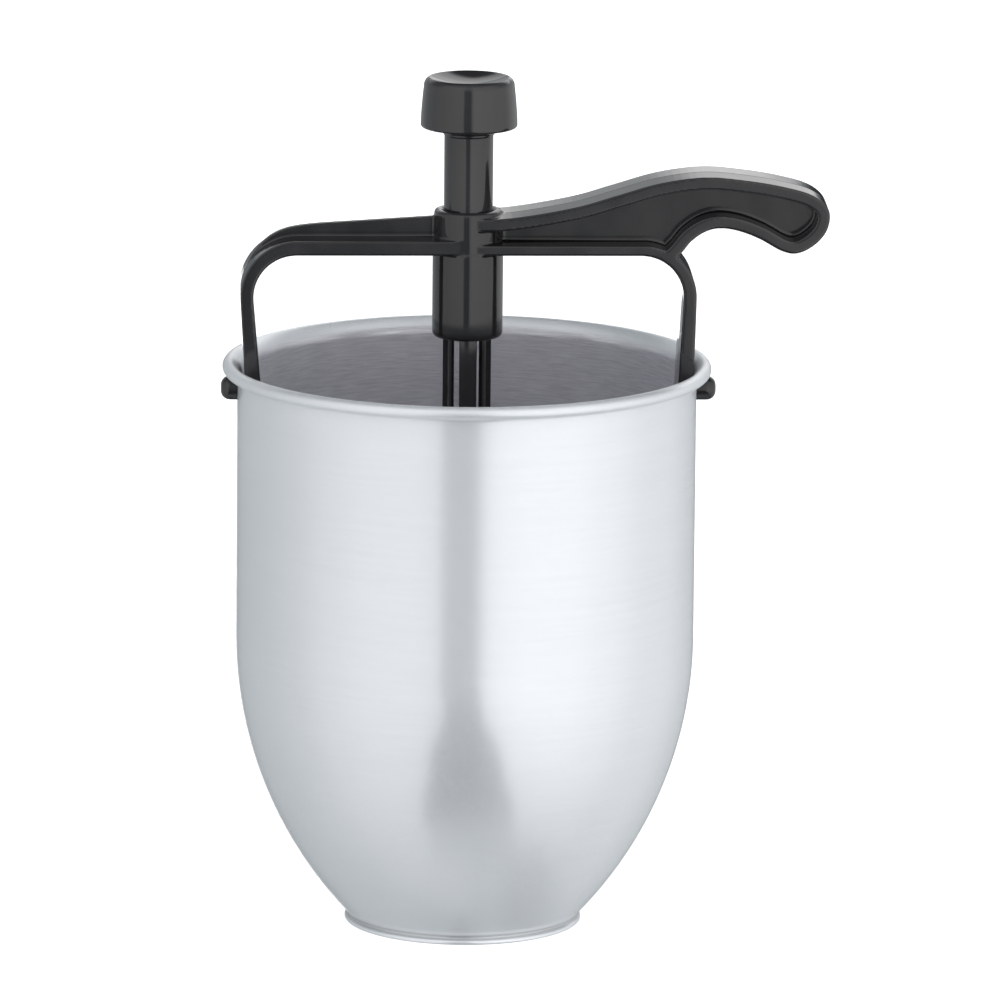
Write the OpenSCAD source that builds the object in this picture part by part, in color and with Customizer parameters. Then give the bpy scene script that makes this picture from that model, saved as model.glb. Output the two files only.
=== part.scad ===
// Hand-held pancake batter dispenser.
// A spun aluminium cup with an outlet in its foot, a moulded handle that bridges the cup, and a
// spring-loaded plunger that opens a valve disc in the outlet when its knob is pressed.
// Millimetres. +Z is up, the cup's axis is Z, the table is z = 0 and the grip points along +X.

/* [Cup] */
// Outer radius of the cup's straight wall
cup_r = 54; // [50:0.5:57]
// Height of the rim above the table
cup_h = 134.75; // [125:0.25:145]
// Thickness of the aluminium sheet
sheet_t = 0.9; // [0.7:0.05:1.1]
// Radius of the curve that leads from the wall down to the foot
bowl_r = 97; // [88:1:115]
// Outer radius of the neck just above the foot
neck_r = 27.6; // [24:0.2:31]
// Height of the folded foot
foot_h = 2.3; // [1.8:0.1:3.5]
// How far the folded foot stands out of the neck
foot_step = 0.4; // [0.2:0.1:1]
// How much wider the valve seat gets from the throat down to the table
seat_flare = 0.6; // [0.3:0.1:1]
// Width of the ledge between the bowl and the valve seat
seat_ledge = 0.1; // [0.05:0.05:0.3]
// How far the rolled rim stands out of the wall
rim_w = 3.5; // [2.8:0.1:4.5]
// Radius of the rolled bead
bead_r = 1.55; // [1.2:0.05:1.9]
// How far the bead stands proud of the flare
bead_proud = 0.05; // [0.02:0.01:0.2]
// Radius of the flare between the wall and the bead
flare_r = 5; // [4:0.5:9]

/* [Handle] */
// Height of the arms' underside above the rim
arch_h = 26.3; // [20:0.5:34]
// Inner radius of the arch where an arm turns into a leg
arch_r = 10; // [7:0.5:14]
// Gap between the wall's outside and the top of a leg, seen from above
leg_inset = 0.5; // [0.3:0.1:1.5]
// How far the left leg leans in, in degrees from upright
left_lean = 5; // [2:0.5:6]
// How far the right leg leans in, in degrees from upright
right_lean = 3; // [2:0.5:6]
// Thickness of a leg below the arch
leg_t = 3.1; // [2.4:0.1:3.6]
// How much thicker a leg is at its lower end
leg_gain = 0.8; // [0:0.1:1.5]
// Width of the arms, legs and grip from front to back
frame_w = 15.7; // [12:0.1:15.9]
// Thickness of the web between the flanges
web_t = 2; // [1.6:0.1:4]
// Thickness of the left arm's lower flange
left_flange_t = 3.4; // [2.6:0.1:4]
// Thickness of the right arm's lower flange
right_flange_t = 2.4; // [2:0.1:3.2]
// Thickness of the flange round the grip
grip_t = 2.9; // [2.2:0.1:3.4]
// Radius of the hub above the arms' underside
hub_r = 8; // [7.8:0.1:9]
// Height of the hub above the arms' underside
hub_h = 9.9; // [9:0.1:13]
// Rounding of the hub's upper edge
hub_round = 0.9; // [0.4:0.1:1.5]
// Radius of the barrel below the arms
barrel_r = 8.3; // [8:0.1:9.5]
// Length of the barrel below the arms
barrel_l = 20.5; // [18:0.5:24]
// Rounding of the barrel's lower edge
barrel_round = 1.3; // [0.5:0.1:1.4]
// Thickness of the bridge in the barrel's floor
bridge_t = 2.5; // [2:0.1:3.5]

/* [Pegs] */
// Radius of the pegs that hold the handle in the cup
peg_r = 2.85; // [2.4:0.05:2.9]
// Depth of the pegs' axis below the rim
peg_drop = 6.6; // [6.6:0.1:9]
// Length of a peg outside its leg
peg_l = 5.7; // [4:0.1:7]
// Rounding of a peg's end
peg_round = 2.1; // [0.6:0.1:2.3]

/* [Plunger] */
// Outer radius of the hollow plunger stem
stem_r = 5.75; // [5.5:0.05:6]
// Wall thickness of the stem
stem_wall = 1.15; // [1:0.05:1.4]
// Height of the stem's upper end above the hub
stem_above = 17.5; // [16:0.5:22]
// Angle that each of the stem's three legs takes up, in degrees
leg_angle = 42; // [34:1:50]
// Travel of the plunger
travel = 13; // [8:0.5:14]

/* [Knob] */
// Radius of the knob near its lower edge
knob_r = 11.35; // [9.5:0.05:13]
// Radius of the knob where its upper edge starts to round over
knob_top_r = 10.65; // [9.3:0.05:12]
// Rounding of that upper edge
knob_round = 2.2; // [1.6:0.1:3]
// Distance from there in to the sharp edge round the hollow
lip_inset = 1.25; // [0.8:0.05:1.5]
// Height of the knob
knob_h = 11.8; // [9:0.1:14]
// Depth of the hollow for the thumb
dish_depth = 1.9; // [1:0.1:2.6]
// Radius of the neck under the knob
neck_under_r = 6; // [5.9:0.05:7]
// Height of the neck under the knob
neck_under_h = 0.9; // [0.8:0.1:2]
// Rise of the knob's underside from the neck out to its edge, in degrees
under_slope = 12; // [8:1:16]
// Length of the knob's plug inside the stem
plug_l = 14; // [8:0.5:16]

/* [Spring] */
// Diameter of the spring's wire
wire_d = 0.8; // [0.6:0.05:1]
// Number of the spring's working turns
turns = 10; // [6:1:12]

/* [Valve] */
// Thickness of the valve disc at its edge
disc_t = 2.2; // [1.8:0.1:3]
// Height of the boss on the valve disc
boss_h = 3.4; // [3:0.1:5]
// Fillet between that boss and the disc
boss_fillet = 2.4; // [1:0.1:2.8]
// Radius of the socket on the stem's lower end
socket_r = 8.4; // [7.8:0.1:10]
// Height of that socket
socket_h = 12; // [11:0.5:16]
// Thickness of the socket's floor under the legs
socket_floor = 3.5; // [2.5:0.1:5]
// Thickness of the socket's wall at its upper edge
socket_wall = 0.9; // [0.6:0.1:1.4]
// Radius of the valve screw's shank
screw_r = 1.5; // [1.2:0.1:1.8]
// Length of the valve screw's shank
screw_l = 12; // [9:0.5:13]
// Radius of the valve screw's head
screw_head_r = 2.9; // [2.5:0.1:3.3]
// Radius of the washer
washer_r = 4.5; // [4:0.1:5.5]
// Thickness of the washer
washer_t = 0.6; // [0.4:0.1:0.8]
// Depth from the disc's underside to the washer
washer_depth = 1.8; // [1.6:0.1:2]

/* [Fits] */
// Gap round the stem where it slides in the barrel
run_gap = 0.075; // [0.03:0.005:0.1]
// Gap between parts that move past each other elsewhere
free_gap = 0.3; // [0.25:0.05:0.4]
// Gap between the legs and the cup's wall
wall_gap = 0.2; // [0.1:0.05:0.3]
// Gap where one part is pushed or laid into another
seat_gap = 0.05; // [0.02:0.01:0.1]

/* [Hidden] */
$fn = 96;

aluminium = "silver";
black_plastic = "#26272a";
steel = "#b8babd";

// Cup: the bowl's curve starts where it is tangent to the wall and reaches the neck at the foot
cup_ri = cup_r - sheet_t;
bowl_x = cup_r - bowl_r;
shoulder_z = foot_h + sqrt(pow(bowl_r, 2) - pow(neck_r - bowl_x, 2));
throat_r = bowl_x + sqrt(pow(bowl_r - sheet_t, 2) - pow(shoulder_z - foot_h, 2)) + seat_ledge;
rim_r = cup_r + rim_w;
bead_x = rim_r - bead_r;
bead_z = cup_h - bead_r;
bead_reach = flare_r - bead_r + bead_proud;
flare_turn = acos((flare_r - (bead_x - cup_ri)) / bead_reach);
flare_x = cup_ri + flare_r;
flare_z = bead_z - bead_reach * sin(flare_turn);

// Handle heights
beam_z = cup_h + arch_h;
hub_top = beam_z + hub_h;
barrel_bottom = beam_z - barrel_l;
bridge_top = barrel_bottom + bridge_t;
arch_z = beam_z - arch_r;
leg_x = cup_r - leg_inset;
arch_x = leg_x - leg_t - arch_r;
peg_z = cup_h - peg_drop;
leg_bottom = peg_z - frame_w / 2;

// Plunger heights
stem_ri = stem_r - stem_wall;
bore_r = stem_r + run_gap;
stem_top = hub_top + stem_above;
slot_top = bridge_top + travel + free_gap;
disc_bottom = free_gap;
disc_top = disc_bottom + disc_t;
socket_z = disc_top + boss_h;
leg_end = socket_z + socket_floor + seat_gap;
screw_seat = disc_bottom + washer_depth - 2 * seat_gap;
screw_tip = screw_seat + screw_l;
knob_z = stem_top + seat_gap;
spring_low = bridge_top + seat_gap;
spring_high = stem_top - plug_l - seat_gap;
spring_r = stem_ri - free_gap - wire_d / 2;

// Overlap of two stretches of one solid, so that they join
joint_lap = 0.01;
// How far a cutting shape runs past the surface that it opens
cut = 1;
// Pieces between two points of a smooth curve, and pieces of a quarter turn
curve_steps = 6;
arc_steps = 14;

// Inner face of a leg that leans in by lean degrees, and the leg's thickness, at height z
function leg_inside(lean, z) = arch_x + arch_r / cos(lean) - (arch_z - z) * tan(lean);
function leg_thickness(z) = leg_t + leg_gain * (arch_z - z) / (arch_z - leg_bottom);

// Smooth curve through the given points, with steps pieces between each two
function spline_point(a, b, c, d, t) =
    0.5 * (2 * b + (c - a) * t + (2 * a - 5 * b + 4 * c - d) * t * t
        + (3 * b - a - 3 * c + d) * t * t * t);
function spline(p, steps) = [
    for (i = [0 : len(p) - 2], s = [0 : steps - 1])
        spline_point(p[max(i - 1, 0)], p[i], p[i + 1], p[min(i + 2, len(p) - 1)], s / steps),
    p[len(p) - 1]
];

// Points of an arc round centre c, from angle a0 to a1
function arc(c, r, a0, a1, steps) = [
    for (s = [0 : steps]) c + r * [cos(a0 + (a1 - a0) * s / steps), sin(a0 + (a1 - a0) * s / steps)]
];

// Unit vector to the left of a path at its point i
function side(p, i) =
    let (d = p[min(i + 1, len(p) - 1)] - p[max(i - 1, 0)])
    [-d.y, d.x] / norm(d);

// A path moved sideways by the distance given for each of its points
function moved(p, w) = [for (i = [0 : len(p) - 1]) p[i] + side(p, i) * w[i]];
function back(p) = [for (i = [len(p) - 1 : -1 : 0]) p[i]];

// The strip between a path and the same path moved sideways
module strip(path, w) {
    polygon(concat(path, back(moved(path, w))));
}

// A flat outline in X and Z, made w deep from front to back
module plate(w) {
    rotate([90, 0, 0])
        linear_extrude(height = w, center = true)
            children();
}

// A ring sector of angle a, centred on direction turn, for the legs and their openings
module sector(r_in, r_out, a, turn, h) {
    reach = 2 * r_out;
    intersection() {
        difference() {
            cylinder(r = r_out, h = h);
            translate([0, 0, -cut])
                cylinder(r = r_in, h = h + 2 * cut);
        }
        rotate([0, 0, turn])
            linear_extrude(height = h)
                polygon([
                    [0, 0],
                    [reach * cos(a / 2), -reach * sin(a / 2)],
                    [reach * cos(a / 2), reach * sin(a / 2)]
                ]);
    }
}

// Directions of the stem's three legs: one faces the front
leg_turns = [-90, 30, 150];

// Rolled rim: the wall flares out and wraps over a bead
module rim_section() {
    translate([bead_x, bead_z])
        circle(r = bead_r);
    intersection() {
        difference() {
            translate([flare_x, flare_z])
                circle(r = flare_r);
            translate([flare_x, flare_z])
                circle(r = flare_r - sheet_t);
        }
        polygon([
            [flare_x, flare_z],
            [cup_ri - cut, flare_z],
            [cup_ri - cut, flare_z + (flare_r + cut) * tan(flare_turn)]
        ]);
    }
}

// Wall, bowl and folded foot with the valve's seat inside it
module body_section() {
    translate([cup_ri, shoulder_z])
        square([sheet_t, flare_z - shoulder_z]);
    intersection() {
        difference() {
            translate([bowl_x, shoulder_z])
                circle(r = bowl_r, $fn = 360);
            translate([bowl_x, shoulder_z])
                circle(r = bowl_r - sheet_t, $fn = 360);
        }
        translate([0, foot_h])
            square([cup_r + cut, shoulder_z - foot_h]);
    }
    fold = (neck_r + foot_step - throat_r) / 3;
    foot_r = neck_r + foot_step;
    polygon([
        [throat_r, foot_h],
        [throat_r + seat_flare, 0],
        [foot_r - fold, 0],
        [foot_r, fold],
        [foot_r, foot_h - fold],
        [foot_r - fold / 2, foot_h]
    ]);
}

module cup() {
    color(aluminium)
    difference() {
        rotate_extrude($fn = 180) {
            rim_section();
            body_section();
        }
        translate([-cup_r - cut, 0, peg_z])
            rotate([0, 90, 0])
                cylinder(r = peg_r + seat_gap, h = 2 * (cup_r + cut));
    }
}

// Inner edge of an arm and leg, from the hub out along the arm and down the leg
function arch_line(lean) = concat(
    [[0, beam_z]],
    arc([arch_x, arch_z], arch_r, 90, -lean, arc_steps),
    [[leg_inside(lean, leg_bottom), leg_bottom]]
);

// Thickness of the arm's flange and leg along that line
function arch_widths(line, t_arm) = [
    for (i = [0 : len(line) - 1])
        i == len(line) - 1 ? leg_thickness(leg_bottom)
        : t_arm + (leg_t - t_arm) * min(1, max(0, (line[i].x - arch_x) / arch_r))
];

// Outer edge of the right arm and its grip, from the hub over the top, round the tip and back
// along the underside into the arch above the leg. Distances are from the leg and the beam.
function grip_line() = spline([
    [0, beam_z + 8.6],
    [hub_r + 2, beam_z + 9],
    [leg_x - 29, beam_z + 11.5],
    [leg_x - 19, beam_z + 14.4],
    [leg_x - 9, beam_z + 17.3],
    [leg_x + 1.5, beam_z + 18.7],
    [leg_x + 11, beam_z + 18],
    [leg_x + 20, beam_z + 16.5],
    [leg_x + 27, beam_z + 14.4],
    [leg_x + 30.7, beam_z + 10.9],
    [leg_x + 30.4, beam_z + 6.4],
    [leg_x + 27.6, beam_z + 2.8],
    [leg_x + 23.6, beam_z + 0.7],
    [leg_x + 19.8, beam_z + 1.2],
    [leg_x + 14.5, beam_z + 4.1],
    [leg_x + 9.5, beam_z + 6],
    [leg_x + 5.2, beam_z + 6.6],
    [leg_x + 1.8, beam_z + 5.8],
    [leg_x - 1.4, beam_z + 3.6],
    [leg_x - 3.6, beam_z + 0.9],
    [leg_x - 6, beam_z - 1.6]
], curve_steps);

// Upper edge of the left arm's rib, from the hub out and down into the leg's outer face
function rib_line() = spline([
    [-(hub_r - 3), beam_z + 8.4],
    [-(leg_x - 30), beam_z + 7.2],
    [-(leg_x - 15), beam_z + 6.1],
    [-(leg_x - 8.4), beam_z + 4.3],
    [-(leg_x - 4.1), beam_z + 0.7],
    [-(leg_x - 1.4), beam_z - 4],
    [-(leg_x - 0.3), beam_z - 9],
    [-(leg_x - 1.5), beam_z - 14]
], curve_steps);

// The flange and leg of the right side
module arm(lean, t_arm) {
    line = arch_line(lean);
    plate(frame_w)
        strip(line, arch_widths(line, t_arm));
}

// What is cut from the legs: their ends are round about the pegs' axis, and their outer faces
// follow the inside of the cup's wall and flare
module leg_trim() {
    wide = 2 * cup_r;
    difference() {
        translate([-wide, -frame_w, leg_bottom - cut])
            cube([2 * wide, 2 * frame_w, peg_z - leg_bottom + cut]);
        translate([-wide - cut, 0, peg_z])
            rotate([0, 90, 0])
                cylinder(r = frame_w / 2, h = 2 * (wide + cut));
    }
    rotate_extrude($fn = 180) {
        translate([cup_ri - wall_gap, leg_bottom - cut])
            square([wide, flare_z - leg_bottom + cut]);
        intersection() {
            translate([flare_x, flare_z])
                circle(r = flare_r + wall_gap);
            translate([0, flare_z - joint_lap])
                square([wide, bead_z - flare_z]);
        }
        translate([bead_x, bead_z])
            circle(r = bead_r + wall_gap);
    }
}

// Peg on one leg, with a rounded end outside the cup
module peg(dir, lean) {
    face = leg_inside(lean, peg_z) + leg_thickness(peg_z);
    root = face - leg_t / 2;
    straight = leg_t / 2 + peg_l - peg_round;
    translate([0, 0, peg_z])
        rotate([0, dir * 90, 0])
            translate([0, 0, root])
                rotate_extrude() {
                    square([peg_r, straight]);
                    square([peg_r - peg_round, straight + peg_round]);
                    translate([peg_r - peg_round, straight])
                        intersection() {
                            circle(r = peg_round);
                            square(peg_round);
                        }
                }
}

// Hub above the arms and barrel below them, before they are bored
module hub_and_barrel() {
    rotate_extrude() {
        translate([0, beam_z - joint_lap])
            square([hub_r, hub_h + joint_lap - hub_round]);
        translate([0, hub_top - hub_round])
            square([hub_r - hub_round, hub_round]);
        translate([hub_r - hub_round, hub_top - hub_round])
            intersection() {
                circle(r = hub_round);
                square(hub_round);
            }
        translate([0, barrel_bottom + barrel_round])
            square([barrel_r, barrel_l - barrel_round]);
        translate([0, barrel_bottom])
            square([barrel_r - barrel_round, barrel_round]);
        translate([barrel_r - barrel_round, barrel_bottom + barrel_round])
            intersection() {
                circle(r = barrel_round);
                translate([0, -barrel_round])
                    square(barrel_round);
            }
    }
}

// Bore for the stem and the three openings that its legs pass through in the bridge
module stem_bore() {
    lead_in = 0.6;
    translate([0, 0, bridge_top])
        cylinder(r = bore_r, h = hub_top - bridge_top + cut);
    translate([0, 0, hub_top - lead_in])
        cylinder(r1 = bore_r, r2 = bore_r + lead_in, h = lead_in + joint_lap);
    play = 2 * asin(free_gap / stem_ri);
    for (turn = leg_turns)
        translate([0, 0, barrel_bottom - cut])
            sector(stem_ri - free_gap, bore_r, leg_angle + play, turn, bridge_t + 2 * cut);
}

module handle_frame() {
    grip = grip_line();
    grip_middle = moved(grip, [for (p = grip) -grip_t / 2]);
    left_line = arch_line(left_lean);
    left_middle = moved(left_line, [for (p = left_line) left_flange_t / 2]);
    rib = rib_line();
    rib_end = rib[len(rib) - 1].y;
    color(black_plastic)
    difference() {
        union() {
            difference() {
                union() {
                    arm(right_lean, right_flange_t);
                    mirror([1, 0, 0])
                        arm(left_lean, left_flange_t);
                    plate(frame_w)
                        strip(grip, [for (p = grip) -grip_t]);
                    plate(web_t)
                        polygon(concat(
                            [[0, beam_z + right_flange_t / 2]],
                            grip_middle,
                            [[arch_x, beam_z + right_flange_t / 2]]
                        ));
                    plate(web_t)
                        polygon(concat(
                            rib,
                            [for (p = back(left_middle)) if (p.y > rib_end) [-p.x, p.y]]
                        ));
                }
                leg_trim();
            }
            peg(1, right_lean);
            peg(-1, left_lean);
            hub_and_barrel();
        }
        stem_bore();
    }
}

module plunger_stem() {
    color(black_plastic) {
        difference() {
            translate([0, 0, slot_top])
                cylinder(r = stem_r, h = stem_top - slot_top);
            translate([0, 0, slot_top - cut])
                cylinder(r = stem_ri, h = stem_top - slot_top + 2 * cut);
        }
        for (turn = leg_turns)
            translate([0, 0, leg_end])
                sector(stem_ri, stem_r, leg_angle, turn, slot_top - leg_end + joint_lap);
    }
}

// Knob with a dished top, an underside that slopes into a neck, and a plug in the stem's upper end
module thumb_knob() {
    land = 0.15;
    lower_round = 0.7;
    neck_lead = 0.3;
    under_z = knob_z + neck_under_h;
    fillet_share = 1 / cos(under_slope) - tan(under_slope);
    fillet = min(0.6, (neck_under_h - neck_lead) / fillet_share);
    fillet_z = under_z - fillet * fillet_share;
    edge_x = knob_r - lower_round;
    edge_z = under_z + (edge_x - neck_under_r) * tan(under_slope) + lower_round / cos(under_slope);
    lip_r = knob_top_r - lip_inset;
    round_x = knob_top_r - knob_round;
    round_h = sqrt(pow(knob_round, 2) - pow(lip_r - round_x, 2));
    top_z = edge_z - lower_round + knob_h;
    dish_rim = lip_r - land;
    dish_r = (pow(dish_rim, 2) + pow(dish_depth, 2)) / (2 * dish_depth);
    color(black_plastic)
    difference() {
        rotate_extrude() {
            translate([0, spring_high + seat_gap])
                square([stem_ri - seat_gap, knob_z - spring_high]);
            polygon(concat(
                [[0, knob_z], [stem_r, knob_z], [neck_under_r, knob_z + neck_lead]],
                arc([neck_under_r + fillet, fillet_z], fillet, 180, 90 + under_slope, 5),
                arc([edge_x, edge_z], lower_round, under_slope - 90, 0, 5),
                [[knob_top_r, top_z - round_h], [0, top_z - round_h]]
            ));
            translate([0, top_z - round_h - joint_lap])
                square([lip_r, round_h + joint_lap]);
            translate([round_x, top_z - round_h])
                intersection() {
                    circle(r = knob_round);
                    square([knob_round, round_h]);
                }
        }
        translate([0, 0, top_z - dish_depth + dish_r])
            sphere(r = dish_r, $fn = 180);
    }
}

// Compression spring between the bridge and the knob's plug, with a closed turn at each end
module return_spring() {
    ring_sides = 8;
    steps_per_turn = 16;
    end_pitch = wire_d + 0.1;
    low = spring_low + wire_d / 2;
    high = spring_high - wire_d / 2;
    count = (turns + 2) * steps_per_turn;
    pitch = (high - low - 2 * end_pitch) / turns;
    function height(n) =
        n < 1 ? low + n * end_pitch
        : n > turns + 1 ? high - (turns + 2 - n) * end_pitch
        : low + end_pitch + (n - 1) * pitch;
    function ring_point(i, k) =
        let (a = 360 * i / steps_per_turn, b = 360 * k / ring_sides, r = spring_r + wire_d / 2 * cos(b))
        [r * cos(a), r * sin(a), height(i / steps_per_turn) + wire_d / 2 * sin(b)];
    points = [for (i = [0 : count], k = [0 : ring_sides - 1]) ring_point(i, k)];
    walls = [
        for (i = [0 : count - 1], k = [0 : ring_sides - 1])
            let (a = i * ring_sides + k, b = i * ring_sides + (k + 1) % ring_sides)
            each [[a, b, b + ring_sides], [a, b + ring_sides, a + ring_sides]]
    ];
    first_end = [for (k = [ring_sides - 1 : -1 : 0]) k];
    last_end = [for (k = [0 : ring_sides - 1]) count * ring_sides + k];
    color(steel)
        polyhedron(points = points, faces = concat(walls, [first_end, last_end]));
}

// Socket that joins the three legs at the bottom and takes the valve's screw
module stem_socket() {
    cone_h = 5;
    color(black_plastic)
    difference() {
        union() {
            translate([0, 0, socket_z])
                cylinder(r = socket_r, h = socket_h - cone_h);
            translate([0, 0, socket_z + socket_h - cone_h])
                cylinder(r1 = socket_r, r2 = stem_r + seat_gap + socket_wall, h = cone_h);
        }
        translate([0, 0, socket_z + socket_floor])
            difference() {
                cylinder(r = stem_r + seat_gap, h = socket_h);
                translate([0, 0, -cut])
                    cylinder(r = stem_ri - seat_gap, h = socket_h + 2 * cut);
            }
        translate([0, 0, socket_z - cut])
            cylinder(r = screw_r + seat_gap, h = screw_tip + free_gap - socket_z + cut);
    }
}

// Valve disc: a plate with a coned edge that seats in the foot and a boss under the socket
module valve_disc() {
    edge_r = throat_r - free_gap;
    slope = seat_flare / foot_h;
    color(black_plastic)
    difference() {
        rotate_extrude($fn = 180)
            polygon(concat(
                [[0, disc_bottom]],
                [for (z = [disc_bottom, disc_top]) [edge_r + slope * (foot_h - z), z]],
                arc([socket_r + boss_fillet, disc_top + boss_fillet], boss_fillet, 270, 180, 8),
                [for (r = [socket_r, 0]) [r, socket_z - seat_gap]]
            ));
        translate([0, 0, disc_bottom - cut])
            cylinder(r = washer_r + free_gap, h = washer_depth + washer_t + cut);
        cylinder(r = screw_r + seat_gap, h = socket_z + cut);
    }
}

module valve_washer() {
    color(steel)
    translate([0, 0, disc_bottom + washer_depth - seat_gap])
        difference() {
            cylinder(r = washer_r, h = washer_t);
            translate([0, 0, -cut])
                cylinder(r = screw_r + seat_gap, h = washer_t + 2 * cut);
        }
}

module valve_screw() {
    head_h = 1.4;
    slot_l = 3.6;
    slot_w = 0.8;
    slot_depth = 0.8;
    color(steel)
    translate([0, 0, screw_seat - head_h])
        difference() {
            union() {
                cylinder(r = screw_head_r, h = head_h);
                cylinder(r = screw_r, h = head_h + screw_l);
            }
            for (turn = [0, 90])
                rotate([0, 0, turn])
                    translate([-slot_l / 2, -slot_w / 2, -cut])
                        cube([slot_l, slot_w, slot_depth + cut]);
        }
}

cup();
handle_frame();
plunger_stem();
thumb_knob();
return_spring();
stem_socket();
valve_disc();
valve_washer();
valve_screw();
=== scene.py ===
"""Finish, fine forms, light and camera for the pancake batter dispenser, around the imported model.

Lengths are in millimetres, as in the solid model, and become metres where a mesh or a shader takes
them. Lamps and the camera's distance are in metres.
"""

import math

import bmesh
import bpy
from mathutils import Matrix, Vector


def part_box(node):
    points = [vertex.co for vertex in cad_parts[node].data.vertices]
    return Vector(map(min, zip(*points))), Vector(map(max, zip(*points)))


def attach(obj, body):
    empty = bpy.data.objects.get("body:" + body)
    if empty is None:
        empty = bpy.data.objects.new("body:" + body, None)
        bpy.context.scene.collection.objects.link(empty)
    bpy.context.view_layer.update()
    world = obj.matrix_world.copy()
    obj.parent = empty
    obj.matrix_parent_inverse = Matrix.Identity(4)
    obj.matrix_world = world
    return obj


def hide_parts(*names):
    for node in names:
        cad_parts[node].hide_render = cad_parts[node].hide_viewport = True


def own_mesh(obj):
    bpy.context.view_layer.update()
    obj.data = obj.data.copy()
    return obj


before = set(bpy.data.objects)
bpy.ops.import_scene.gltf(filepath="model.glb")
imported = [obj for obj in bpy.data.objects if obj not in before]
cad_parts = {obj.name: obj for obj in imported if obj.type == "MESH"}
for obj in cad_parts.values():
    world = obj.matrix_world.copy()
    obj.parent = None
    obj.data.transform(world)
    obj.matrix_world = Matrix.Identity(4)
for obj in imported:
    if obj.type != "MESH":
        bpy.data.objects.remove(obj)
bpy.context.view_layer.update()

MM = 0.001

# Radius under which a point is taken to be on the axis
ON_AXIS = 1e-6

# Cup: sizes that its turned mesh shares with the solid, and the hem and groove of its foot
CUP_R = 54.0
SHEET_T = 0.9
BOWL_R = 97.0
NECK_R = 27.6
FOOT_H = 2.3
FOOT_STEP = 0.4
HEM_H = 1.25
GROOVE_R = 0.5
GROOVE_DEEP = 0.3
SEAT_FLARE = 0.6
SEAT_LEDGE = 0.1
FLARE_R = 5.0
BEAD_R = 1.55
BEAD_PROUD = 0.05
PEG_HOLE_R = 2.9
PEG_DROP = 6.6

# Knob: sizes of its turned mesh, most of them shared with the solid
KNOB_R = 11.35
KNOB_TOP_R = 10.65
KNOB_ROUND = 2.2
LIP_INSET = 1.25
LIP_FLAT = 0.15
LIP_ROUND = 0.08
LIP_BACK = 0.07
KNOB_H = 11.8
DISH_DEPTH = 1.9
LOWER_ROUND = 0.7
NECK_UNDER_R = 6.0
NECK_UNDER_H = 0.9
NECK_LEAD = 0.3
UNDER_SLOPE = 12.0
UNDER_FILLET = 0.6

# Plunger stem and spring
STEM_R = 5.75
STEM_WALL = 1.15
WIRE_D = 0.8
SPRING_TURNS = 10
SEAT_GAP = 0.05


# ---------------------------------------------------------------- meshes


def arc(centre, radius, start, end, steps):
    """Points of an arc in the (radius, height) plane; angles in degrees."""
    turns = [math.radians(start + (end - start) * i / steps) for i in range(steps + 1)]
    return [(centre[0] + radius * math.cos(t), centre[1] + radius * math.sin(t)) for t in turns]


def corner_angle(first, second, opposite):
    """The angle in degrees between a triangle's first two sides, from the three lengths."""
    cosine = (first**2 + second**2 - opposite**2) / (2 * first * second)
    return math.degrees(math.acos(cosine))


def mesh_data(name, mesh):
    """Turns a bmesh into mesh data."""
    data = bpy.data.meshes.new(name)
    mesh.to_mesh(data)
    mesh.free()
    return data


def add_object(name, data):
    """A new object in the scene."""
    added = bpy.data.objects.new(name, data)
    bpy.context.scene.collection.objects.link(added)
    return added


def new_piece(name, mesh, slot, body, *nodes):
    """Makes a piece of a bmesh in millimetres: it rides on body and stands for nodes."""
    bmesh.ops.recalc_face_normals(mesh, faces=mesh.faces)
    bmesh.ops.scale(mesh, vec=(MM, MM, MM), verts=mesh.verts)
    piece = add_object(name, mesh_data(name, mesh))
    return fit_piece(piece, slot, body, *nodes)


def fit_piece(piece, slot, body, *nodes):
    """Gives a piece its body and hides the nodes that it stands for; slot is not used."""
    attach(piece, body)
    if nodes:
        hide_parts(*nodes)
    return piece


def smooth(piece, sharp_from=40):
    """Shades a piece smooth, apart from edges that turn by more than sharp_from degrees."""
    data = piece.data
    data.polygons.foreach_set("use_smooth", [True] * len(data.polygons))
    data.set_sharp_from_angle(angle=math.radians(sharp_from))


def lathe(outline, sides):
    """Turns an outline of (radius, height) points about Z. It is closed, or ends on the axis."""
    mesh = bmesh.new()
    rings = []
    for radius, height in outline:
        if radius < ON_AXIS:
            rings.append([mesh.verts.new((0, 0, height))] * sides)
            continue
        turns = [2 * math.pi * i / sides for i in range(sides)]
        rings.append(
            [mesh.verts.new((radius * math.cos(t), radius * math.sin(t), height)) for t in turns]
        )
    ends_on_axis = outline[0][0] < ON_AXIS and outline[-1][0] < ON_AXIS
    pairs = list(zip(rings, rings[1:])) + ([] if ends_on_axis else [(rings[-1], rings[0])])
    for low, high in pairs:
        for i in range(sides):
            j = (i + 1) % sides
            corners = []
            for vert in (low[i], low[j], high[j], high[i]):
                if vert not in corners:
                    corners.append(vert)
            if len(corners) > 2:
                mesh.faces.new(corners)
    return mesh


def tube(points, radius, sides):
    """A round bar along points, with flat ends."""
    mesh = bmesh.new()
    rings = []
    for i, point in enumerate(points):
        ahead = points[min(i + 1, len(points) - 1)] - points[max(i - 1, 0)]
        side = Vector((point.x, point.y, 0)).normalized()
        up = ahead.cross(side).normalized()
        turns = [2 * math.pi * k / sides for k in range(sides)]
        rings.append(
            [mesh.verts.new(point + radius * (math.cos(t) * side + math.sin(t) * up)) for t in turns]
        )
    for low, high in zip(rings, rings[1:]):
        for k in range(sides):
            mesh.faces.new((low[k], low[(k + 1) % sides], high[(k + 1) % sides], high[k]))
    mesh.faces.new(rings[0][::-1])
    mesh.faces.new(rings[-1])
    return mesh


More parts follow.
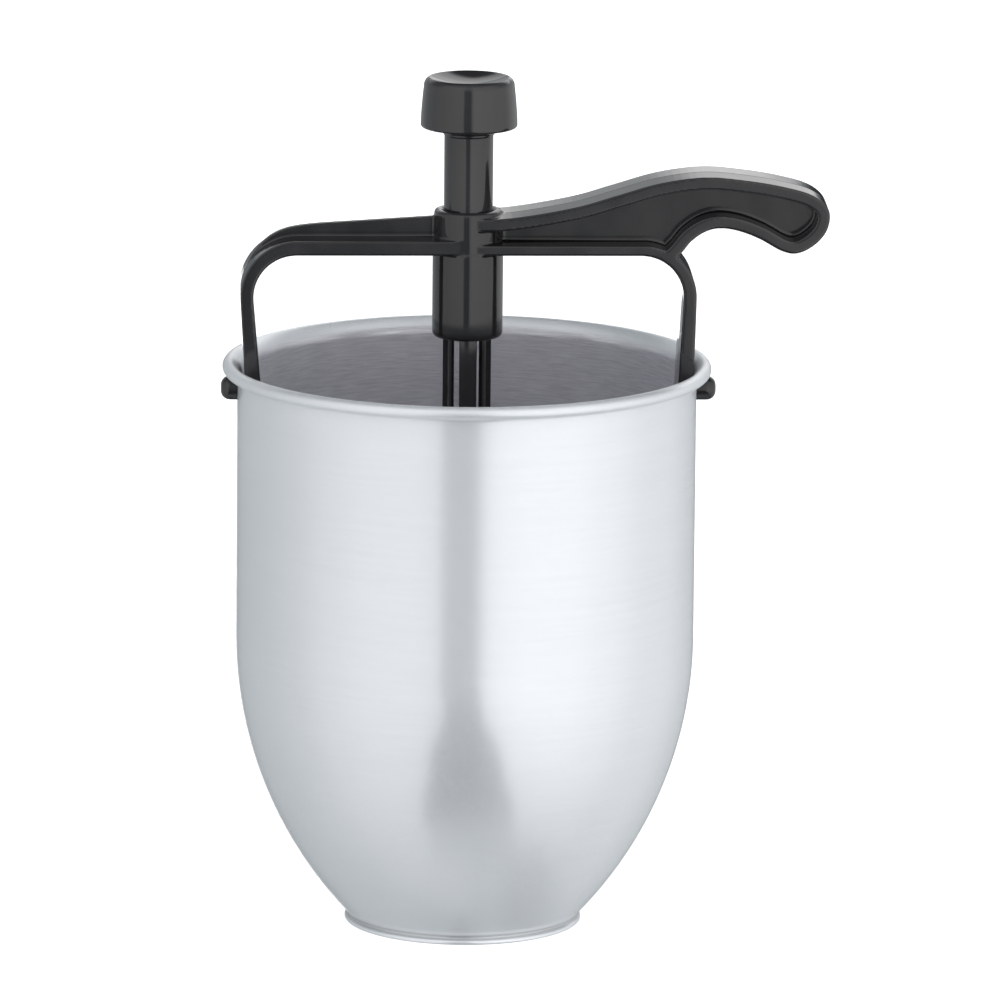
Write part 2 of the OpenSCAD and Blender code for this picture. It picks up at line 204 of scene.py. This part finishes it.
def apply_modifiers(piece):
    """Replaces a piece's mesh by what its modifiers make of it."""
    graph = bpy.context.evaluated_depsgraph_get()
    graph.update()
    result = bpy.data.meshes.new_from_object(piece.evaluated_get(graph))
    piece.modifiers.clear()
    piece.data = result


def copy_of(node, name):
    """A new object with a copy of a CAD node's mesh, its split corners joined again."""
    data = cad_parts[node].data.copy()
    data.attributes.remove(data.attributes["custom_normal"])
    piece = add_object(name, data)
    mesh = bmesh.new()
    mesh.from_mesh(data)
    bmesh.ops.remove_doubles(mesh, verts=mesh.verts, dist=0.002 * MM)
    mesh.to_mesh(data)
    mesh.free()
    return piece


def moulded_copy(node, name, voxel, passes, faces_kept):
    """A CAD node's form with the rounded edges and filled corners of a moulding."""
    piece = copy_of(node, name)
    remesh = piece.modifiers.new("remesh", "REMESH")
    remesh.mode = "VOXEL"
    remesh.voxel_size = voxel * MM
    remesh.adaptivity = 0
    apply_modifiers(piece)
    ease = piece.modifiers.new("ease", "SMOOTH")
    ease.factor = 0.5
    ease.iterations = passes
    reduce = piece.modifiers.new("reduce", "DECIMATE")
    reduce.ratio = faces_kept
    apply_modifiers(piece)
    return piece


# ---------------------------------------------------------------- pieces


def cup_outline():
    """The cup's wall from the bead over the outside to the foot and back up the inside.

    Angles are in degrees. An ease is how far an arc stops short of the next one, which leaves the
    corner between them a little round.
    """
    _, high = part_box("cup")
    rim_r = high.y / MM
    cup_h = high.z / MM
    inner_r = CUP_R - SHEET_T
    # Rim: centres of the bead and of the flare below it, and where they meet on the outside
    bead = (rim_r - BEAD_R, cup_h - BEAD_R)
    reach = FLARE_R - BEAD_R + BEAD_PROUD
    turn = math.degrees(math.acos((FLARE_R - (bead[0] - inner_r)) / reach))
    flare = (inner_r + FLARE_R, bead[1] - reach * math.sin(math.radians(turn)))
    under_r = FLARE_R - SHEET_T
    bead_meet = corner_angle(reach, BEAD_R, under_r)
    flare_meet = corner_angle(reach, under_r, BEAD_R)
    rim_ease = 5
    # Bowl: its centre, and how far round it the outside and the inside go
    bowl_x = CUP_R - BOWL_R
    shoulder_z = FOOT_H + math.sqrt(BOWL_R**2 - (NECK_R - bowl_x) ** 2)
    neck_drop = math.asin((shoulder_z - FOOT_H) / BOWL_R)
    throat_drop = math.asin((shoulder_z - FOOT_H) / (BOWL_R - SHEET_T))
    throat_r = bowl_x + (BOWL_R - SHEET_T) * math.cos(throat_drop)
    neck_ease = 0.3
    throat_ease = 0.4
    # Foot: the hem's fold, the groove above it, and the eased edges of the seat inside
    foot_r = NECK_R + FOOT_STEP
    fold = HEM_H * 0.45
    groove = (NECK_R + GROOVE_R - GROOVE_DEEP, HEM_H + GROOVE_R)
    seat_edge = 0.1
    ledge_edge = 0.12
    wall_steps = 46
    wall = [
        shoulder_z + (flare[1] - shoulder_z) * i / wall_steps for i in range(1, wall_steps)
    ]
    return (
        arc(bead, BEAD_R, 180 - turn - 2 * rim_ease, -turn - bead_meet + rim_ease, 48)
        + arc(flare, under_r, 180 - turn + flare_meet + rim_ease, 180, 10)
        + [(CUP_R, z) for z in reversed(wall)]
        + arc((bowl_x, shoulder_z), BOWL_R, 0, -math.degrees(neck_drop) + neck_ease, 60)
        + arc(groove, GROOVE_R, 130, 230, 8)
        + arc((foot_r - fold, HEM_H - fold), fold, 60, 0, 6)
        + arc((foot_r - fold, fold), fold, 0, -90, 6)
        + [(throat_r + SEAT_FLARE + seat_edge, 0), (throat_r + SEAT_FLARE, seat_edge)]
        + [(throat_r + SEAT_LEDGE, FOOT_H), (throat_r + ledge_edge / 2, FOOT_H + ledge_edge)]
        + arc(
            (bowl_x, shoulder_z),
            BOWL_R - SHEET_T,
            -math.degrees(throat_drop) + throat_ease,
            0,
            60,
        )
        + [(inner_r, z) for z in wall]
        + arc(flare, FLARE_R, 180, 180 - turn + rim_ease, 14)
    )


def make_cup():
    """Spun aluminium cup, with the two holes for the handle's pegs."""
    piece = new_piece("cup_sheet", lathe(cup_outline(), 288), "aluminium_sheet", "housing", "cup")
    _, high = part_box("cup")
    place = Matrix.Translation((0, 0, high.z - PEG_DROP * MM))
    cutter_mesh = bmesh.new()
    bmesh.ops.create_cone(
        cutter_mesh,
        cap_ends=True,
        segments=64,
        radius1=PEG_HOLE_R * MM,
        radius2=PEG_HOLE_R * MM,
        depth=high.y * 2.2,
        matrix=place @ Matrix.Rotation(math.pi / 2, 4, "Y"),
    )
    cutter = add_object("peg_holes", mesh_data("peg_holes", cutter_mesh))
    holes = piece.modifiers.new("holes", "BOOLEAN")
    holes.operation = "DIFFERENCE"
    holes.solver = "EXACT"
    holes.object = cutter
    apply_modifiers(piece)
    bpy.data.objects.remove(cutter)
    smooth(piece, 35)
    return piece


def make_handle():
    """The handle's moulding, with its edges rounded and its inner corners filled."""
    piece = moulded_copy("handle_frame", "handle_moulding", voxel=0.25, passes=4, faces_kept=0.4)
    fit_piece(piece, "black_plastic", "housing", "handle_frame")
    smooth(piece, 180)
    return piece


def make_knob():
    """Thumb knob, turned from one outline that runs from its dish round to its plug."""
    low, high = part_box("thumb_knob")
    top_z = high.z / MM
    low_z = top_z - KNOB_H
    plug_z = low.z / MM
    slope = math.radians(UNDER_SLOPE)
    edge = (KNOB_R - LOWER_ROUND, low_z + LOWER_ROUND)
    under_z = edge[1] - (edge[0] - NECK_UNDER_R) * math.tan(slope) - LOWER_ROUND / math.cos(slope)
    fillet_z = under_z - UNDER_FILLET * (1 / math.cos(slope) - math.tan(slope))
    knob_z = under_z - NECK_UNDER_H
    plug_r = STEM_R - STEM_WALL - SEAT_GAP
    plug_edge = 0.3
    lip_r = KNOB_TOP_R - LIP_INSET
    round_x = KNOB_TOP_R - KNOB_ROUND
    round_h = math.sqrt(KNOB_ROUND**2 - (lip_r - round_x) ** 2)
    round_turn = math.degrees(math.acos((lip_r - round_x) / KNOB_ROUND))
    dish_rim = lip_r - LIP_FLAT
    dish_r = (dish_rim**2 + DISH_DEPTH**2) / (2 * DISH_DEPTH)
    dish_turn = math.degrees(math.asin(dish_rim / dish_r))
    side_h = KNOB_H - round_h - LOWER_ROUND
    # The side widens downwards, less and less
    side = [
        (KNOB_TOP_R + (KNOB_R - KNOB_TOP_R) * (1 - (1 - t) ** 1.5), top_z - round_h - t * side_h)
        for t in (0.12, 0.25, 0.4, 0.55, 0.7, 0.85)
    ]
    outline = (
        [(0, top_z - DISH_DEPTH)]
        + arc((0, top_z - DISH_DEPTH + dish_r), dish_r, -88, -90 + dish_turn - 0.4, 20)
        + arc((lip_r - LIP_BACK, top_z - LIP_ROUND), LIP_ROUND, 120, 55, 4)
        + arc((round_x, top_z - round_h), KNOB_ROUND, round_turn - 2, 0, 10)
        + side
        + arc(edge, LOWER_ROUND, 0, -90 + UNDER_SLOPE, 6)
        + arc((NECK_UNDER_R + UNDER_FILLET, fillet_z), UNDER_FILLET, 90 + UNDER_SLOPE, 180, 6)
        + [(NECK_UNDER_R, knob_z + NECK_LEAD), (STEM_R, knob_z), (plug_r, knob_z)]
        + [(plug_r, plug_z + plug_edge), (plug_r - plug_edge, plug_z), (0, plug_z)]
    )
    piece = new_piece("knob_cap", lathe(outline, 128), "black_plastic", "plunger", "thumb_knob")
    smooth(piece, 40)
    return piece


def make_spring():
    """Return spring: round wire with closed end turns. The plunger squeezes the real one; this mesh
    keeps one shape.
    """
    low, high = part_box("return_spring")
    radius = high.x / MM - WIRE_D / 2
    low_z = low.z / MM + WIRE_D / 2
    high_z = high.z / MM - WIRE_D / 2
    steps = 32
    end_gap = 0.05
    end_pitch = WIRE_D + end_gap
    pitch = (high_z - low_z - 2 * end_pitch) / SPRING_TURNS
    points = []
    for i in range((SPRING_TURNS + 2) * steps + 1):
        turn = i / steps
        if turn < 1:
            height = low_z + turn * end_pitch
        elif turn > SPRING_TURNS + 1:
            height = high_z - (SPRING_TURNS + 2 - turn) * end_pitch
        else:
            height = low_z + end_pitch + (turn - 1) * pitch
        angle = 2 * math.pi * turn
        points.append(Vector((radius * math.cos(angle), radius * math.sin(angle), height)))
    mesh = tube(points, WIRE_D / 2, 12)
    piece = new_piece("spring_wire", mesh, "spring_steel", "housing", "return_spring")
    smooth(piece, 50)
    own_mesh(piece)
    return piece


def make_bevelled(node, name, slot, body, width):
    """A turned or drilled CAD node with its sharp edges broken."""
    piece = copy_of(node, name)
    flat = piece.modifiers.new("flat", "DECIMATE")
    flat.decimate_type = "DISSOLVE"
    flat.angle_limit = math.radians(1)
    edge = piece.modifiers.new("edge", "BEVEL")
    edge.width = width * MM
    edge.segments = 3
    edge.limit_method = "ANGLE"
    edge.angle_limit = math.radians(35)
    apply_modifiers(piece)
    fit_piece(piece, slot, body, node)
    smooth(piece, 35)
    return piece


# ---------------------------------------------------------------- shader helpers

# Where most of a noise texture's values lie
NOISE_SPREAD = (0.3, 0.7)


def metres(*lengths):
    """Millimetres as metres."""
    return [length * MM for length in lengths]


class Tree:
    """Adds shader nodes to one node tree."""

    def __init__(self, owner):
        owner.use_nodes = True
        self.tree = owner.node_tree
        self.tree.nodes.clear()

    def add(self, kind, inputs=None, **settings):
        """Adds a node; an input is a socket to link or a value to set."""
        node = self.tree.nodes.new("ShaderNode" + kind)
        for name, value in settings.items():
            setattr(node, name, value)
        for name, value in (inputs or {}).items():
            socket = node.inputs[name]
            if isinstance(value, bpy.types.NodeSocket):
                self.tree.links.new(value, socket)
            else:
                socket.default_value = value
        return node

    def maths(self, operation, first, second=None, clamp=False):
        """The result of a Math node on one or two values."""
        inputs = {0: first} if second is None else {0: first, 1: second}
        return self.add("Math", inputs, operation=operation, use_clamp=clamp).outputs[0]

    def times(self, *values):
        """The product of two or more values."""
        product = values[0]
        for value in values[1:]:
            product = self.maths("MULTIPLY", product, value)
        return product

    def mix(self, factor, first, second):
        """A mix of two values."""
        node = self.add("Mix", {0: factor, 2: first, 3: second}, data_type="FLOAT")
        return node.outputs[0]

    def span(self, value, low, high, new_low=0.0, new_high=1.0, smooth_step=True):
        """A value mapped from one range to another."""
        kind = "SMOOTHSTEP" if smooth_step else "LINEAR"
        inputs = {0: value, 1: low, 2: high, 3: new_low, 4: new_high}
        return self.add("MapRange", inputs, interpolation_type=kind).outputs[0]

    def vary(self, noise, low, high):
        """Levels from low to high over a noise's usual spread."""
        return self.span(noise, *NOISE_SPREAD, low, high, smooth_step=False)

    def region(self, *bands):
        """1 within soft edges and 0 outside.

        A band is a value and the ranges over which the region starts and ends along it. None is
        no edge on that side.
        """
        edges = []
        for value, start, end in bands:
            if start:
                edges.append(self.span(value, *start))
            if end:
                edges.append(self.span(value, *end, 1.0, 0.0))
        return self.times(*edges)

    def noise(self, vector, scale, detail, roughness):
        """The value of a noise texture."""
        inputs = {"Vector": vector, "Scale": scale, "Detail": detail, "Roughness": roughness}
        return self.add("TexNoise", inputs).outputs["Fac"]

    def position(self):
        """The place on the piece, in metres."""
        return self.add("TexCoord").outputs["Object"]

    def level_normal(self):
        """The surface's normal in object coordinates, without its upright part."""
        normal = self.add("TexCoord").outputs["Normal"]
        return self.add("VectorMath", {0: normal, 1: (1, 1, 0)}, operation="MULTIPLY").outputs[0]

    def axes(self, vector):
        """A vector's X, Y and Z."""
        parts = self.add("SeparateXYZ", {0: vector})
        return parts.outputs[0], parts.outputs[1], parts.outputs[2]

    def triple(self, first, second, third):
        """A vector or a colour made of three values."""
        return self.add("CombineXYZ", {0: first, 1: second, 2: third}).outputs[0]

    def ramp(self, value, stops):
        """A grey ramp through (place, level) stops."""
        node = self.add("ValToRGB", {0: value})
        ramp = node.color_ramp
        ramp.interpolation = "EASE"
        while len(ramp.elements) < len(stops):
            ramp.elements.new(0.5)
        for element, (place, level) in zip(ramp.elements, stops):
            element.position = place
            element.color = (level, level, level, 1)
        return node.outputs[0]

    def table(self, sine, rows):
        """A value looked up by a sine of elevation in rows of (sine, value)."""
        values = [value for _, value in rows]
        low, reach = min(values), max(values) - min(values)
        place = self.maths("ADD", self.maths("DIVIDE", sine, 2.0), 0.5)
        shade = self.ramp(place, [((h + 1) / 2, (value - low) / reach) for h, value in rows])
        return self.maths("ADD", self.times(shade, reach), low)


def dress(piece, material):
    """Puts one material on a piece."""
    piece.data.materials.clear()
    piece.data.materials.append(material)


# ---------------------------------------------------------------- materials

# Aluminium: red, green and blue, each outside and inside; the inside's, a little darker and more
# purple, is painted shade
METAL_TINTS = [(0.884, 0.888), (0.905, 0.888), (0.931, 0.931)]
# Its roughness in bright grains on the wall, in those on the rim's bead, and in dull grains
WALL_BRIGHT = 0.17
BEAD_BRIGHT = 0.27
DULL = 0.8
# Noise values between which the grains turn from bright to dull
GRAIN_EDGE = (0.38, 0.55)
# Heights between which the wall's roughness turns into the bead's
BEAD_START = (130.3, 131.2)
# Radii between which the inside's brushed streaks and painted shade end
INSIDE_END = (CUP_R - SHEET_T, CUP_R - 0.1)
# Shade in the groove above the foot: its two edges by height, its edge by radius, and its level
GROOVE_START = (0.9, 1.3)
GROOVE_END = (1.9, 2.6)
GROOVE_SIDE = (26.8, 27.1)
GROOVE_SHADE = 0.7

# Black plastic: roughness and level, each from clean to handled, and the noise values of that
PLASTIC_ROUGH = (0.07, 0.13)
PLASTIC_LEVEL = (0.0115, 0.0155)
HANDLED_EDGE = (0.35, 0.7)
# Depth of its sink waves
SINK_WAVE = 0.06
# Faces of the parted moulding: their draft in degrees, and the slope at which they fall to the right
DRAFT = 1.7
RIGHT_FALL = 0.011
# Its parting line: half the width of the flat on it, the seam's edge, and the seam's finish
PARTING_FLAT = 0.1
SEAM_EDGE = (0.18, 0.3)
SEAM_ROUGH = 0.5
SEAM_LEVEL = 0.004


def aluminium():
    """Spun aluminium: a microscopic grain of bright and dull spots, and faint rings of spinning.

    The inside is brushed in streaks and darkened by painted shade, and the groove above the foot
    lies in shade.
    """
    material = bpy.data.materials.new("spun_aluminium")
    tree = Tree(material)
    vector = tree.position()
    x, y, z = tree.axes(vector)
    radius = tree.maths("SQRT", tree.maths("ADD", tree.times(x, x), tree.times(y, y)))
    turn = tree.maths("ARCTAN2", y, x)

    def streaks(shortness, scale, detail, roughness):
        """A noise whose marks run round the cup."""
        place = tree.triple(radius, tree.times(turn, shortness), z)
        return tree.noise(place, scale, detail, roughness)

    grain = streaks(shortness=0.02, scale=40000.0, detail=0.0, roughness=0.5)
    rings = streaks(shortness=0.002, scale=900.0, detail=4.0, roughness=0.6)
    brush_and_shade = streaks(shortness=0.003, scale=2600.0, detail=2.0, roughness=0.7)
    cloud = tree.noise(vector, scale=22.0, detail=2.0, roughness=0.5)
    outward = tree.add("VectorMath", {0: tree.level_normal(), 1: vector}, operation="DOT_PRODUCT")
    faces_in = tree.maths("LESS_THAN", outward.outputs["Value"], 0.0)
    within = tree.times(tree.region((radius, None, metres(*INSIDE_END))), faces_in)
    groove = tree.region(
        (z, metres(*GROOVE_START), metres(*GROOVE_END)),
        (radius, metres(*GROOVE_SIDE), None),
    )
    shade = tree.times(
        tree.vary(rings, 0.98, 1.0),
        tree.vary(cloud, 0.985, 1.0),
        tree.mix(groove, 1.0, GROOVE_SHADE),
        # The inside: brushed streaks, plus painted shade that darkens it by about a tenth on average
        tree.mix(within, 1.0, tree.vary(brush_and_shade, 0.8, 1.01)),
    )
    # The inside gets its own tint, which is painted shade
    tints = [tree.times(shade, tree.mix(within, outer, inner)) for outer, inner in METAL_TINTS]
    finest = tree.span(z, *metres(*BEAD_START), WALL_BRIGHT, BEAD_BRIGHT, smooth_step=False)
    rough = tree.span(grain, *GRAIN_EDGE, finest, DULL, smooth_step=False)
    tangent = tree.add("Tangent", direction_type="RADIAL", axis="Z")
    shader = tree.add(
        "BsdfPrincipled",
        {
            "Base Color": tree.triple(*tints),
            "Metallic": 1.0,
            "Roughness": rough,
            "Anisotropic": 0.4,
            "Anisotropic Rotation": 0.25,
            "Tangent": tangent.outputs[0],
        },
    )
    tree.add("OutputMaterial", {"Surface": shader.outputs[0]})
    return material


def black_plastic(name, gloss=1.53, parted=False):
    """Glossy black moulding with faint sink waves and handling marks.

    A parted moulding comes from two mould halves that meet at the front-to-back middle: its
    faces fall away from that line by the draft of the halves, and the line shows as a fine seam.
    """
    material = bpy.data.materials.new(name)
    tree = Tree(material)
    vector = tree.position()
    waves = tree.noise(vector, scale=95.0, detail=1.0, roughness=0.4)
    handled = tree.noise(vector, scale=60.0, detail=3.0, roughness=0.6)
    rough = tree.span(handled, *HANDLED_EDGE, *PLASTIC_ROUGH)
    level = tree.vary(handled, *PLASTIC_LEVEL)
    height = tree.times(waves, SINK_WAVE * MM)
    if parted:
        x, y, _ = tree.axes(vector)
        height = tree.maths("SUBTRACT", height, tree.times(x, RIGHT_FALL))
        aside = tree.maths("ABSOLUTE", y)
        fall = tree.maths("MAXIMUM", aside, PARTING_FLAT * MM)
        height = tree.maths("ADD", height, tree.times(fall, -math.tan(math.radians(DRAFT))))
        seam = tree.region((aside, None, metres(*SEAM_EDGE)))
        rough = tree.mix(seam, rough, SEAM_ROUGH)
        level = tree.mix(seam, level, SEAM_LEVEL)
    bump = tree.add("Bump", {"Strength": 1.0, "Distance": 1.0, "Height": height})
    shader = tree.add(
        "BsdfPrincipled",
        {
            "Base Color": tree.triple(level, level, tree.times(level, 1.08)),
            "Roughness": rough,
            "IOR": gloss,
            "Normal": bump.outputs[0],
        },
    )
    tree.add("OutputMaterial", {"Surface": shader.outputs[0]})
    return material


def steel(name, level, rough):
    """Drawn or turned bright steel; rough is its lowest and its highest roughness."""
    material = bpy.data.materials.new(name)
    tree = Tree(material)
    mottle = tree.noise(tree.position(), scale=900.0, detail=3.0, roughness=0.6)
    value = tree.vary(mottle, level * 0.9, level)
    shader = tree.add(
        "BsdfPrincipled",
        {
            "Base Color": tree.triple(value, value, tree.times(value, 1.02)),
            "Metallic": 1.0,
            "Roughness": tree.vary(mottle, *rough),
        },
    )
    tree.add("OutputMaterial", {"Surface": shader.outputs[0]})
    return material


# ---------------------------------------------------------------- light, floor and camera

# Strength of the light where the lists below say 1
FULL = 1.064
# Light round the object by direction, as (turn in degrees from the front, level)
AROUND = [
    (-180, 0.2), (-168, 0.22), (-155, 0.5), (-125, 0.58), (-100, 0.67), (-75, 0.86), (-50, 0.99),
    (-25, 1.07), (20, 0.87), (50, 0.82), (75, 0.72), (100, 0.59), (140, 0.57), (155, 0.55),
    (168, 0.22), (180, 0.2),
]
# How much of it is left above and below, as (sine of the elevation, level)
UP_AND_DOWN = [
    (-1.0, 0.61), (-0.9, 0.7), (-0.6, 0.9), (-0.3, 0.99), (0.3, 1.0), (0.7, 1.04), (1.0, 0.56),
]
# Dark gap between the two soft boxes, by the sine of the elevation: its turn from the front and
# its half width in degrees, and the level in it
GAP_TURN = [
    (-1.0, 16.0), (-0.9, 12.0), (-0.8, 2.0), (-0.69, 0.0), (-0.53, -1.4), (-0.32, -3.0),
    (-0.22, -5.2), (1.0, -5.2),
]
GAP_WIDTH = [(-0.95, 54.0), (-0.8, 35.0), (-0.6, 22.0), (-0.35, 9.6), (1.0, 9.0)]
GAP_LEVEL = [
    (-0.97, 1.0), (-0.86, 0.65), (-0.75, 0.1), (-0.55, 0.03), (-0.4, 0.1), (-0.25, 0.27),
    (0.0, 0.32), (0.3, 0.6), (0.6, 0.8), (1.0, 0.9),
]
# The gap's soft edges, as shares of its half width
GAP_EDGE = (0.8, 1.1)
# How much stronger the right soft box is than that, by the sine of the elevation
RIGHT_BOOST = [
    (-0.9, 1.0), (-0.75, 1.25), (-0.5, 1.45), (-0.3, 1.57), (0.05, 1.55), (0.4, 1.35), (1.0, 1.2),
]

# Regions of directions. A direction has a length of 1, with X to the right, Y to the back and Z
# up; its turn is in degrees from the front. Each row says over which values a region starts and
# ends along a measure of the direction.
BEYOND = ((0.88, 0.96), None)
REGIONS = {
    "right box": {"turn": ((4.0, 12.0), (118.0, 155.0))},
    "above and behind": {"y": ((-0.3, 0.35), None), "z": ((0.15, 0.6), None)},
    "high light": {
        "y": ((0.5, 0.7), None),
        "z": ((0.26, 0.36), None),
        "under the slope": (None, (0.54, 0.68)),
    },
    "far wall": {"y": BEYOND, "z": ((0.03, 0.1), (0.24, 0.4))},
    "glare on the table": {
        "x": ((-0.14, -0.09), (0.0, 0.03)),
        "y": BEYOND,
        "z": (None, (-0.19, -0.13)),
    },
    "dark corner": {
        "x": ((0.06, 0.12), (0.3, 0.4)),
        "y": BEYOND,
        "z": ((-0.35, -0.25), (-0.02, 0.04)),
    },
    "dark stretch of table": {
        "x over depth": ((0.2, 0.35), (0.52, 0.7)),
        "y": ((-0.45, -0.1), None),
        "z": (None, (-0.7, -0.5)),
    },
}
# The high light's upper edge slopes up to the right: where it rises along X, and by how much
HIGH_SLOPE = (0.0, 0.35)
HIGH_RISE = 0.15
# Share of the light that two of the regions keep
KEPT_BEHIND = 0.5
KEPT_BELOW = 0.58
# Levels of the others; the first two go from the first level to the second over a range of X
HIGH_LEVEL = (-0.45, 0.45, 0.72, 1.76)
WALL_LEVEL = (-0.03, 0.05, 0.58, 1.3)
GLARE_LEVEL = 2.8
CORNER_LEVEL = 0.04
# Weak light is cooler: the levels between which it gets its tint, and the tint
COOL_RANGE = (0.15, 1.05)
COOL_TINT = (0.92, 1.0, 1.04)


def make_world():
    """White to the camera; to everything else, soft boxes on both sides of a dark gap, and more."""
    world = bpy.data.worlds.new("studio")
    bpy.context.scene.world = world
    tree = Tree(world)
    x, y, z = tree.axes(tree.add("TexCoord").outputs["Generated"])
    turn = tree.maths("DEGREES", tree.maths("ARCTAN2", x, tree.times(y, -1.0)))
    slope = tree.span(x, *HIGH_SLOPE, 0.0, HIGH_RISE, smooth_step=False)
    measures = {
        "x": x,
        "y": y,
        "z": z,
        "turn": turn,
        "under the slope": tree.maths("SUBTRACT", z, slope),
        "x over depth": tree.maths("DIVIDE", x, tree.times(z, -1.0)),
    }

    def region(name):
        """1 in the directions of a region."""
        rows = REGIONS[name].items()
        return tree.region(*[(measures[measure], *edges) for measure, edges in rows])

    place = tree.maths("ADD", tree.maths("DIVIDE", turn, 360.0), 0.5)
    around = tree.ramp(place, [((a + 180) / 360, level) for a, level in AROUND])
    off_gap = tree.maths("ABSOLUTE", tree.maths("SUBTRACT", turn, tree.table(z, GAP_TURN)))
    share = tree.maths("DIVIDE", off_gap, tree.table(z, GAP_WIDTH))
    light = tree.times(
        around,
        tree.table(z, UP_AND_DOWN),
        tree.mix(tree.span(share, *GAP_EDGE), tree.table(z, GAP_LEVEL), 1.0),
        tree.mix(region("right box"), 1.0, tree.table(z, RIGHT_BOOST)),
        FULL,
        tree.mix(region("above and behind"), 1.0, KEPT_BEHIND),
    )
    light = tree.mix(region("high light"), light, tree.span(x, *HIGH_LEVEL, smooth_step=False))
    light = tree.mix(region("far wall"), light, tree.span(x, *WALL_LEVEL))
    light = tree.mix(region("glare on the table"), light, GLARE_LEVEL)
    light = tree.mix(region("dark corner"), light, CORNER_LEVEL)
    light = tree.times(light, tree.mix(region("dark stretch of table"), 1.0, KEPT_BELOW))
    seen = tree.add("LightPath").outputs["Is Camera Ray"]
    cool = tree.maths("SUBTRACT", tree.span(light, *COOL_RANGE, 1.0, 0.0), seen, clamp=True)
    colour = tree.triple(*[tree.mix(cool, 1.0, level) for level in COOL_TINT])
    background = tree.add("Background", {"Color": colour, "Strength": tree.mix(seen, light, 1.0)})
    tree.add("OutputWorld", {"Surface": background.outputs[0]})


def make_floor():
    """A white table that keeps only the object's soft shadow."""
    mesh = bmesh.new()
    bmesh.ops.create_grid(mesh, x_segments=1, y_segments=1, size=8)
    floor = add_object("table", mesh_data("table", mesh))
    floor.visible_glossy = False
    material = bpy.data.materials.new("white_table")
    tree = Tree(material)
    diffuse = tree.add("BsdfDiffuse", {"Color": (0.85, 0.85, 0.85, 1)})
    glow = tree.add("Emission", {"Color": (1, 1, 1, 1), "Strength": 0.7})
    both = tree.add("AddShader", {0: diffuse.outputs[0], 1: glow.outputs[0]})
    tree.add("OutputMaterial", {"Surface": both.outputs[0]})
    dress(floor, material)


def add_lamp(name, place, aim, size, power):
    """A soft square lamp that reflections don't show. Its lengths are in metres."""
    lamp = bpy.data.lights.new(name, "AREA")
    lamp.shape = "SQUARE"
    lamp.size = size
    lamp.energy = power
    holder = add_object(name, lamp)
    holder.location = place
    holder.rotation_mode = "QUATERNION"
    holder.rotation_quaternion = (Vector(aim) - Vector(place)).to_track_quat("-Z", "Y")
    holder.visible_camera = False
    holder.visible_glossy = False


def make_camera():
    """A long lens, a little left of the front and above it, rolled by half a degree."""
    azimuth = math.radians(-2.5)
    elevation = math.radians(11.9)
    roll = math.radians(0.515)
    distance = 2.7
    target = Vector((8.06, 0, 101.13)) * MM
    back = Vector(
        (
            math.sin(azimuth) * math.cos(elevation),
            -math.cos(azimuth) * math.cos(elevation),
            math.sin(elevation),
        )
    )
    level = Vector((math.cos(azimuth), math.sin(azimuth), 0))
    upright = back.cross(level)
    right = level * math.cos(roll) + upright * math.sin(roll)
    up = upright * math.cos(roll) - level * math.sin(roll)
    matrix = Matrix((right, up, back)).transposed().to_4x4()
    matrix.translation = target + back * distance
    data = bpy.data.cameras.new("camera")
    data.lens = 412.47
    data.sensor_width = 36
    data.clip_end = 50
    camera = add_object("camera", data)
    camera.matrix_world = matrix
    bpy.context.scene.camera = camera


# ---------------------------------------------------------------- the scene

make_camera()
make_world()
make_floor()
add_lamp("overhead", place=(-0.4, -0.6, 1.6), aim=(0, 0, 0.1), size=1.2, power=6)
bpy.context.scene.view_settings.view_transform = "Standard"

metal = aluminium()
plastic = black_plastic("handle_plastic", parted=True)
turned_plastic = black_plastic("plunger_plastic", gloss=1.57)
spring_finish = steel("spring_wire_steel", level=0.62, rough=(0.22, 0.34))
bright_finish = steel("turned_steel", level=0.68, rough=(0.16, 0.28))

dress(make_cup(), metal)
dress(make_handle(), plastic)
dress(make_knob(), turned_plastic)
dress(make_spring(), spring_finish)
for node, name, slot, width, finish in (
    ("plunger_stem", "stem_tube", "black_plastic", 0.2, turned_plastic),
    ("stem_socket", "socket_collar", "black_plastic", 0.25, turned_plastic),
    ("valve_disc", "outlet_disc", "black_plastic", 0.2, turned_plastic),
    ("valve_washer", "screw_washer", "bright_steel", 0.1, bright_finish),
    ("valve_screw", "disc_screw", "bright_steel", 0.12, bright_finish),
):
    dress(make_bevelled(node, name, slot, "plunger", width), finish)
